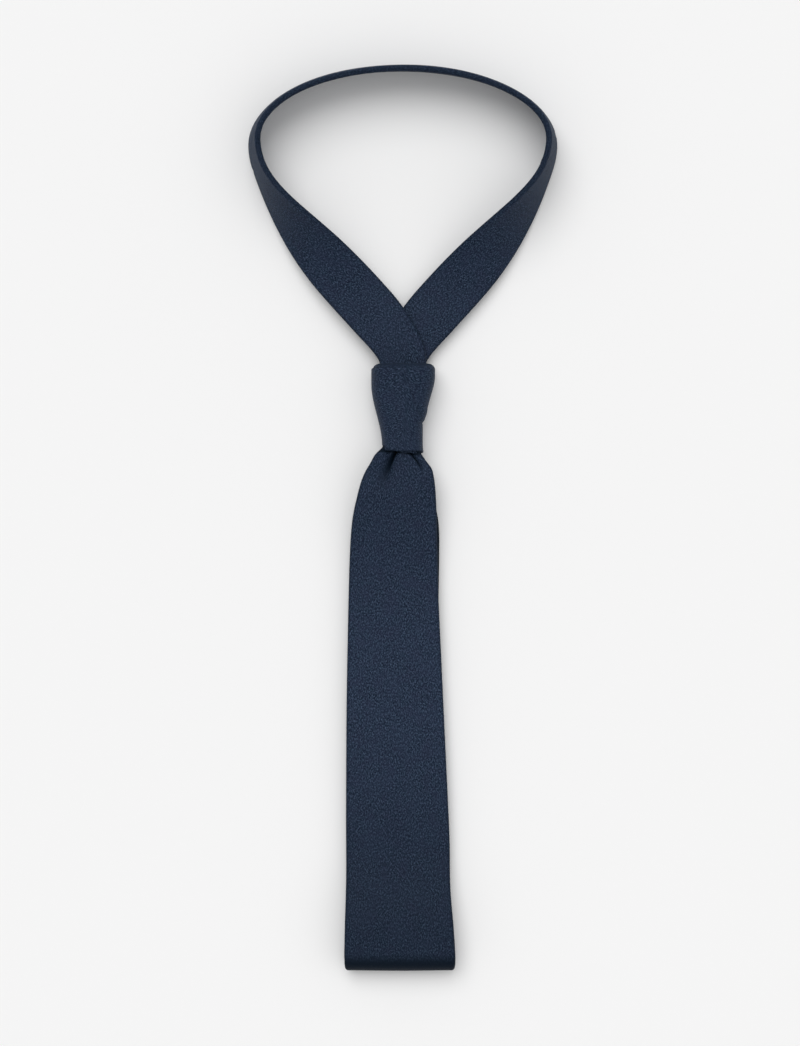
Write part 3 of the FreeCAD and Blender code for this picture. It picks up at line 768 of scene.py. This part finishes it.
def make_inner_wrap():
    """The knot's first turn, flat between the legs."""
    low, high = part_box("knot_inner_wrap")

    def space(up, a, n):
        return np.stack([a, MOUTH + up, (low.z + high.z) / 2 + n], axis=-1)

    up = steps(0.6 * MM, KNOT_LONG - 6 * MM, 2 * MM)
    half = leg_half(up, KNOT_LONG)
    silk = 0.3 * MM
    section = folded(-half, half, 5 * MM, MM, ply=high.z - low.z, silk=silk,
                     counts=(6, 6, 20), crown=0)
    cloth("knot_inner_wrap_silk", space, up, section, silk)


def place_of(node):
    """How far down a node's middle is, and half of its length along the tie."""
    low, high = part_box(node)
    return MOUTH - (low.y + high.y) / 2, (high.y - low.y) / 2


def make_keeper(blade):
    """A folded loop across the blade's back, its ends pressed to the cloth."""
    low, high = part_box("keeper_loop")
    down, half = place_of("keeper_loop")

    def space(x, a, n):
        pressed = smooth((np.abs(x - (low.x + high.x) / 2) - 13 * MM) / (6 * MM))
        return blade(down + a, x, -PLY / 2 - (0.62 - 0.32 * pressed) * MM - n)

    x = steps(low.x, high.x, MM)
    edge = half + 0 * x
    silk = 0.14 * MM
    section = folded(-edge, edge, 2 * MM, -MM, ply=0.56 * MM, silk=silk, counts=(5, 5, 16),
                     crown=0.05 * MM)
    cloth("keeper_silk", space, x, section, silk)


def make_label(blade):
    """A blank label with its two ends folded under."""
    low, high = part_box("blank_label")
    down, half = place_of("blank_label")
    hem = 4 * MM

    def space(sweep, a, n):
        return blade(down + sweep, a, -PLY / 2 - 0.2 * MM - n)

    at = steps(-half, half, MM)
    satin = 0.12 * MM
    section = folded(low.x + 0 * at, high.x + 0 * at, low.x + hem, high.x - hem, ply=0.36 * MM,
                     silk=satin, counts=(4, 4, 24), crown=0.03 * MM)
    cloth("blank_label_satin", space, at, section, satin)


# ---- thread ----

BITE = 0.05 * MM  # how deep a stitch's ends go into the cloth


def thread(name, routes, radius):
    """Short lengths of twisted thread, one tube for each route of points."""
    points, faces = [], []
    sides, end_slim = 8, 0.35
    for route in routes:
        route = np.array(route, float)
        heading = unit(np.gradient(route, axis=0))
        lead = unit(np.cross(heading, [0.31, 0.17, 0.93]))
        other = np.cross(heading, lead)
        first = len(points)
        last = len(route) - 1
        for i, place in enumerate(route):
            slim = end_slim if i in (0, last) else 1.0
            for k in range(sides):
                angle = 2 * math.pi * k / sides
                points.append(place + radius * slim * (
                    lead[i] * math.cos(angle) + other[i] * math.sin(angle)))
        for i in range(last):
            for k in range(sides):
                a, b = first + i * sides + k, first + i * sides + (k + 1) % sides
                faces.append((a, b, b + sides, a + sides))
        faces.append(tuple(first + k for k in range(sides)))
        faces.append(tuple(first + last * sides + k for k in reversed(range(sides))))
    return add_mesh(name, points, faces)


def arch(course, first, last, level, rise, count=7):
    """A stitch from first to last, both (distance along, distance across)."""
    t = np.linspace(0, 1, count)
    at = first[0] + (last[0] - first[0]) * t
    across = first[1] + (last[1] - first[1]) * t
    return course(at, across, level - rise * np.sin(math.pi * t))


def slip_stitches(side, course, seam):
    """The stitches that close a back seam."""
    low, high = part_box(side + "_slip_stitch")
    long, pitch = 4 * MM, 8 * MM
    rows = np.arange(MOUTH - high.y, MOUTH - low.y - 3 * MM, pitch)
    routes = [arch(course, (at, seam + 0.5 * MM), (at + long, seam - 0.7 * MM), BITE - PLY / 2,
                   0.26 * MM) for at in rows]
    thread(side + "_slip_stitch_thread", routes, 0.12 * MM)


def bar_tack(side, course, seam, tack):
    """Five threads across a seam where it opens, and a row of stitches over them."""
    level = BITE - PLY / 2
    half = 4 * MM
    bars = [arch(course, (tack - back, seam - half), (tack - back, seam + half), level, 0.28 * MM, 9)
            for back in np.linspace(1.148 * MM, 0, 5)]
    over = [arch(course, (tack + 0.3 * MM, x), (tack - 1.5 * MM, x + 0.35 * MM), level, 0.36 * MM)
            for x in seam + np.arange(-3.6, 3.7, 0.55) * MM]
    thread(side + "_bar_tack_thread", bars + over, 0.13 * MM)


def end_stitches(name, node, course, inset, reach, half_long, stand, rise, radius):
    """Short stitches along the two ends of a node that is sewn to the course."""
    low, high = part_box(node)
    down = place_of(node)[0]
    places = [down + step * 1.3 * MM for step in range(-reach, reach + 1)]
    thread(name, [arch(course, (at - half_long, x), (at + half_long, x), -PLY / 2 - stand, rise)
                  for x in (low.x + inset, high.x - inset) for at in places], radius)


def make_thread(blade, tail):
    """Every seam, tack and row of stitches."""
    slip_stitches("blade", blade, BLADE_SEAM)
    slip_stitches("tail", tail, TAIL_SEAM)
    bar_tack("blade", blade, BLADE_SEAM, BLADE_TACK)
    bar_tack("tail", tail, TAIL_SEAM / 4, TAIL_TACK)
    end_stitches("keeper_tacks_thread", "keeper_loop", blade, 0.8 * MM, 4, 0.45 * MM, 0.45 * MM,
                 0.2 * MM, 0.11 * MM)
    end_stitches("label_stitches", "blank_label", blade, 0.7 * MM, 5, 0.4 * MM, 0.3 * MM,
                 0.16 * MM, 0.09 * MM)


# ---- materials ----

class Graph:
    """Short ways to add the nodes of one material."""

    def __init__(self, name):
        self.material = bpy.data.materials.new(name)
        self.material.use_nodes = True
        self.tree = self.material.node_tree
        self.tree.nodes.clear()
        self.shader = self.add("BsdfPrincipled")
        output = self.add("OutputMaterial")
        self.tree.links.new(self.shader.outputs[0], output.inputs["Surface"])

    def add(self, kind, **settings):
        node = self.tree.nodes.new("ShaderNode" + kind)
        for key, value in settings.items():
            setattr(node, key, value)
        return node

    def put(self, node, sockets, values, output=0):
        """Links or sets inputs of a node, and gives one of its outputs."""
        for socket, value in zip(sockets, values):
            if isinstance(value, bpy.types.NodeSocket):
                self.tree.links.new(value, node.inputs[socket])
            else:
                node.inputs[socket].default_value = value
        return node.outputs[output]

    def math(self, operation, *values):
        return self.put(self.add("Math", operation=operation), range(3), values)

    def mix(self, share, one, two):
        return self.put(self.add("Mix", data_type="RGBA"), (0, 6, 7), (share, one, two), 2)

    def ramp(self, value, low, high, to_low=0.0, to_high=1.0):
        return self.put(self.add("MapRange"), range(5), (value, low, high, to_low, to_high))

    def noise(self, where, scale, detail=2.0, rough=0.5):
        sockets = "Vector", "Scale", "Detail", "Roughness"
        return self.put(self.add("TexNoise"), sockets, (where, scale, detail, rough))

    def mapping(self, source, turn, scale):
        return self.put(self.add("Mapping"), ("Vector", "Rotation", "Scale"), (source, turn, scale))

    def turned(self, degrees, stretch=(1, 1, 1)):
        """The cloth's flat map in millimetres, turned to a thread direction."""
        source = self.add("UVMap", uv_map="weave").outputs[0]
        return self.mapping(source, (0, 0, math.radians(degrees)), [part / MM for part in stretch])

    def ridges(self, where, pitch):
        """Rounded ridges across one direction of the map, 0 to 1."""
        along = self.put(self.add("SeparateXYZ"), (0,), (where,), "X")
        wave = self.math("SINE", self.math("MULTIPLY", along, 2 * math.pi / pitch))
        return self.math("MULTIPLY_ADD", wave, 0.5, 0.5)

    def tint(self, base, mask, low, high, strength, colour):
        """The base with a colour laid over it where the mask is high."""
        share = self.math("MULTIPLY", self.ramp(mask, low, high), strength)
        return self.mix(share, base, colour)

    def bump(self, height, strength, distance):
        sockets = "Height", "Strength", "Distance"
        normal = self.put(self.add("Bump"), sockets, (height, strength, distance))
        self.put(self.shader, ("Normal",), (normal,))

    def finish(self, colour, roughness, sheen, sheen_rough, sheen_tint, specular):
        sockets = ("Base Color", "Roughness", "Sheen Weight", "Sheen Roughness", "Sheen Tint",
                   "Specular IOR Level")
        self.put(self.shader, sockets,
                 (colour, roughness, sheen, sheen_rough, (*sheen_tint, 1), specular))
        return self.material


# the silk's base colours
SILK_DARK = (0.0001, 0.0045, 0.0165, 1)
SILK_LIGHT = (0.0635, 0.093, 0.1545, 1)
SILK_PALE = (0.027, 0.043, 0.082, 1)
SILK_TEAL = (0.01, 0.031, 0.051, 1)
SILK_PLUM = (0.019, 0.021, 0.05, 1)
# the deepest tone, in the twill's valleys, and the colour of the painted shade
SILK_DEEP_AND_SHADE = (0.001, 0.0052, 0.012, 1)
WARP, WEFT = 45, -45  # degrees: the silk is cut on the bias
SLUB = (1, 0.62, 1)  # a thread's floats are longer along it


def silk_material():
    """Fine bias twill in navy, with slubby threads, small specks, a slow drift of colour and painted
    shade on its folds, gathers and rolled edges.
    """
    g = Graph("navy_silk_twill")
    twill = g.ridges(g.turned(18), 0.42)
    warp = g.ridges(g.turned(WARP), 0.3)
    weft = g.ridges(g.turned(WEFT), 0.34)
    floats = g.noise(g.turned(WARP, SLUB), 1.5, 1.5, 0.6)
    floats_across = g.noise(g.turned(WEFT, SLUB), 1.65, 1.5, 0.6)
    grain = g.noise(g.turned(12), 2.6, 2.0, 0.6)
    drift = g.noise(g.turned(10, (1, 0.8, 1)), 0.085, 2.0)
    cast = g.noise(g.turned(70), 0.14, 2.0)
    hue = g.noise(g.turned(31), 0.55, 2.0, 0.6)
    tone = 0.0
    for threads, weight in ((floats, 0.36), (floats_across, 0.34), (grain, 0.3)):
        tone = g.math("MULTIPLY_ADD", g.ramp(threads, 0.36, 0.64), weight, tone)
    tone = g.math("POWER", g.ramp(tone, 0.22, 0.78), 2.1)
    base = g.mix(tone, SILK_DARK, SILK_LIGHT)
    base = g.tint(base, hue, 0.45, 0.75, 0.35, SILK_TEAL)
    base = g.tint(base, cast, 0.42, 0.68, 0.3, SILK_PLUM)
    base = g.tint(base, drift, 0.35, 0.65, 0.2, SILK_PALE)
    base = g.mix(g.math("MULTIPLY", g.math("SUBTRACT", 1.0, twill), 0.16), base, SILK_DEEP_AND_SHADE)
    # the silk's own tone, with painted shade round the fold and in the gathers and painted shadow
    # under the knot and the blade, from each piece's attribute
    tone_and_painted_shade = g.add("Attribute", attribute_name="tone_and_painted_shade").outputs["Fac"]
    base = g.mix(tone_and_painted_shade, base, SILK_DEEP_AND_SHADE)
    # painted shade on the rolled edges, which face sideways, darkened towards the deepest colour
    rolled = g.add("Attribute", attribute_name="rolled").outputs["Fac"]
    base = g.mix(g.math("MULTIPLY", rolled, 0.4), base, SILK_DEEP_AND_SHADE)
    rough = g.math("ADD", g.ramp(tone, 0.0, 1.0, 0.56, 0.7), g.math("MULTIPLY", rolled, 0.06))
    height = g.math("ADD", g.math("MULTIPLY", twill, 0.5),
                    g.math("MULTIPLY", g.math("ADD", warp, weft), 0.2))
    height = g.math("ADD", height, g.math("MULTIPLY", tone, 0.8))
    g.bump(height, 0.5, 0.00012)
    return g.finish(base, rough, 0.03, 0.45, (0.45, 0.62, 0.9), 0.08)


def wool_material():
    """Cream brushed wool, woven open and fuzzy."""
    g = Graph("brushed_wool")
    warp, weft = g.ridges(g.turned(0), 0.9), g.ridges(g.turned(90), 0.9)
    fuzz = g.noise(g.turned(20), 2.2, 4, 0.65)
    patch = g.noise(g.turned(50), 0.15, 2)
    base = g.mix(g.ramp(fuzz, 0.3, 0.7), (0.5, 0.46, 0.37, 1), (0.68, 0.64, 0.54, 1))
    base = g.mix(g.math("MULTIPLY", patch, 0.25), base, (0.6, 0.53, 0.42, 1))
    height = g.math("ADD", g.math("MAXIMUM", warp, weft), fuzz)
    g.bump(height, 0.6, 0.0002)
    return g.finish(base, g.ramp(fuzz, 0.3, 0.7, 0.82, 0.95), 0.3, 0.6, (1, 0.97, 0.9), 0.2)


def lining_material():
    """Smooth lining twill, a shade darker than the silk."""
    g = Graph("lining_twill")
    twill = g.ridges(g.turned(-40), 0.5)
    slub = g.noise(g.turned(-40, (0.4, 2.5, 1)), 1.0, 2)
    base = g.mix(g.ramp(slub, 0.3, 0.7), (0.0085, 0.013, 0.025, 1), (0.016, 0.0235, 0.042, 1))
    g.bump(g.math("ADD", twill, slub), 0.35, 0.00008)
    return g.finish(base, g.ramp(twill, 0.0, 1.0, 0.42, 0.54), 0.05, 0.4, (0.6, 0.7, 0.9), 0.2)


def satin_material():
    """The label's plain satin, with long floats across it."""
    g = Graph("label_satin_weave")
    floats = g.ridges(g.turned(90), 0.22)
    slub = g.noise(g.turned(90, (0.3, 3, 1)), 1.2, 2)
    base = g.mix(g.ramp(slub, 0.3, 0.7), (0.006, 0.0105, 0.023, 1), (0.015, 0.023, 0.042, 1))
    g.bump(g.math("ADD", floats, slub), 0.3, 0.00005)
    return g.finish(base, g.ramp(slub, 0.3, 0.7, 0.32, 0.46), 0.1, 0.3, (0.6, 0.75, 1), 0.3)


def thread_material():
    """Twisted sewing thread."""
    g = Graph("twisted_thread")
    where = g.add("TexCoord").outputs["Object"]
    where = g.mapping(where, (0.4, 0.3, math.radians(35)), (1 / MM, 1 / MM, 1 / MM))
    strand = g.ridges(where, 0.17)
    lint = g.noise(where, 3, 3)
    base = g.mix(strand, (0.012, 0.018, 0.033, 1), (0.033, 0.045, 0.072, 1))
    g.bump(g.math("ADD", strand, g.math("MULTIPLY", lint, 0.4)), 0.5, 0.00006)
    return g.finish(base, g.ramp(lint, 0.3, 0.7, 0.45, 0.65), 0.2, 0.5, (0.7, 0.8, 1), 0.3)


FLOOR_TONE = 0.9


def floor_material():
    """A pale board, very slightly uneven."""
    g = Graph("pale_board")
    tone = g.noise(g.add("TexCoord").outputs["Object"], 6, 2)
    one, two = FLOOR_TONE, FLOOR_TONE * 0.995
    base = g.mix(tone, (one, one, one, 1), (two, two, two, 1))
    return g.finish(base, g.ramp(tone, 0.3, 0.7, 0.88, 0.92), 0.0, 0.5, (1, 1, 1), 0.1)


# ---- together ----

AMBIENT = 0.475
LIGHTS = (  # name, where it comes from, spread in degrees, power
    ("key", (-0.35, 0.85, 1.5), 50, 1.55),
    ("fill", (0.9, -0.2, 1.6), 80, 0.45),
)


def make_stage():
    """The floor, a white world and two soft lights."""
    bpy.ops.mesh.primitive_plane_add(size=80, location=(0, 0, -0.0003))
    floor = bpy.context.object
    floor.name = "floor"
    floor.data.materials.append(floor_material())
    world = bpy.data.worlds.new("studio")
    bpy.context.scene.world = world
    world.use_nodes = True
    background = world.node_tree.nodes["Background"]
    background.inputs["Color"].default_value = (1, 1, 1, 1)
    background.inputs["Strength"].default_value = AMBIENT
    for name, towards, spread, power in LIGHTS:
        lamp = bpy.data.lights.new(name, "SUN")
        lamp.angle = math.radians(spread)
        lamp.energy = power
        holder = add_object(name, lamp)
        holder.location = towards
        holder.rotation_euler = (-Vector(towards)).to_track_quat("-Z", "Y").to_euler()


def make_camera():
    """Straight down on the tie, from the height of a copy stand."""
    camera = bpy.data.cameras.new("camera")
    camera.lens = 85
    camera.sensor_width = 36
    camera.clip_end = 20
    frame_long = 544 * MM  # what the picture's longer side takes in
    focus_height = 8 * MM
    away = frame_long * camera.lens / camera.sensor_width
    holder = add_object("camera", camera)
    holder.location = (-1.56 * MM, MOUTH - 36.4 * MM, away + focus_height)
    bpy.context.scene.camera = holder


blade_path = make_blade()
tail_path = make_tail()
make_loop()
make_wrap("knot_front", -BACK_TURN, BACK_TURN)
make_wrap("knot_back", BACK_TURN, 360 - BACK_TURN)
make_underfold()
make_top_fold()
make_inner_wrap()
make_keeper(blade_path)
make_label(blade_path)
make_thread(blade_path, tail_path)

# where the cloth bends: the two bodies, and from where to where
FOLD_SIDE = (0, FOLD_Y - FOLD_RADIUS, FOLD_HIGH.z / 2)
THROAT = ("knot", "front_blade", (0, MOUTH + 2 * MM, 0), (0, MOUTH - 25 * MM, 0))
LEGS = ("tail", "neck_loop", (0, 25.1 * MM, 0), (0, 45 * MM, 0))
UPPER = ("front_blade", "fold", (0, FOLD_Y, BLADE_LEVEL), FOLD_SIDE)
LOWER = ("fold", "blade_tip", FOLD_SIDE, (0, FOLD_Y, PLY / 2))

# the pieces of each slot: the body each rides on, or else where it bends, which is only listed and
# not applied, as such a piece is fixed in place; then the CAD nodes it replaces
PIECES = {
    "navy_silk": (silk_material, {
        "blade_silk": (THROAT, "blade_shell", "throat_shell"),
        "fold_upper_silk": (UPPER, "fold_shell"),
        "fold_lower_silk": (LOWER,),
        "tip_silk": ("blade_tip", "tip_shell"),
        "tail_silk": ("tail", "tail_shell"),
        "neck_tail_side_silk": (LEGS, "neck_tail_side_shell"),
        "neck_panel_silk": ("neck_loop", "neck_panel_shell"),
        "neck_blade_side_silk": (LEGS, "neck_blade_side_shell", "crossing_leg_shell"),
        "knot_front_silk": ("knot", "knot_front_band"),
        "knot_back_silk": ("knot", "knot_back_wrap"),
        "knot_band_underfold": ("knot",),
        "knot_top_fold_silk": ("knot", "knot_top_fold"),
        "knot_inner_wrap_silk": ("knot", "knot_inner_wrap"),
        "keeper_silk": ("front_blade", "keeper_loop"),
    }),
    "wool_interlining": (wool_material, {
        "blade_wool": (THROAT, "blade_interlining", "throat_interlining"),
        "fold_upper_wool": (UPPER, "fold_interlining"),
        "fold_lower_wool": (LOWER,),
        "tip_wool": ("blade_tip", "tip_interlining"),
        "tail_wool": ("tail", "tail_interlining"),
        "neck_tail_side_wool": (LEGS,),
        "neck_panel_wool": ("neck_loop", "neck_interlining"),
        "neck_blade_side_wool": (LEGS, "crossing_leg_interlining"),
        "knot_front_wool": ("knot", "knot_front_interlining"),
        "knot_back_wool": ("knot", "knot_back_interlining"),
    }),
    "lining_silk": (lining_material, {
        "blade_tipping": ("front_blade",),
        "fold_upper_tipping": (UPPER,),
        "fold_lower_tipping": (LOWER,),
        "tip_tipping_silk": ("blade_tip", "tip_tipping"),
        "tail_tipping_silk": ("tail", "tail_tipping"),
    }),
    "sewing_thread": (thread_material, {
        "blade_slip_stitch_thread": ("front_blade", "blade_slip_stitch"),
        "tail_slip_stitch_thread": ("tail", "tail_slip_stitch"),
        "blade_bar_tack_thread": ("front_blade", "blade_bar_tack"),
        "tail_bar_tack_thread": ("tail", "tail_bar_tack"),
        "keeper_tacks_thread": ("front_blade", "keeper_tacks"),
        "label_stitches": ("front_blade",),
    }),
    "label_satin": (satin_material, {"blank_label_satin": ("front_blade", "blank_label")}),
}
for slot, (make_material, pieces) in PIECES.items():
    material = make_material()
    for name, (holder, *nodes) in pieces.items():
        piece = made[name]
        piece.data.materials.append(material)
        if isinstance(holder, str):
            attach(piece, holder)
        else:
            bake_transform(piece)
        if nodes:
            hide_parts(*nodes)

make_stage()
make_camera()
bpy.context.scene.view_settings.view_transform = "Standard"

bpy.context.view_layer.update()
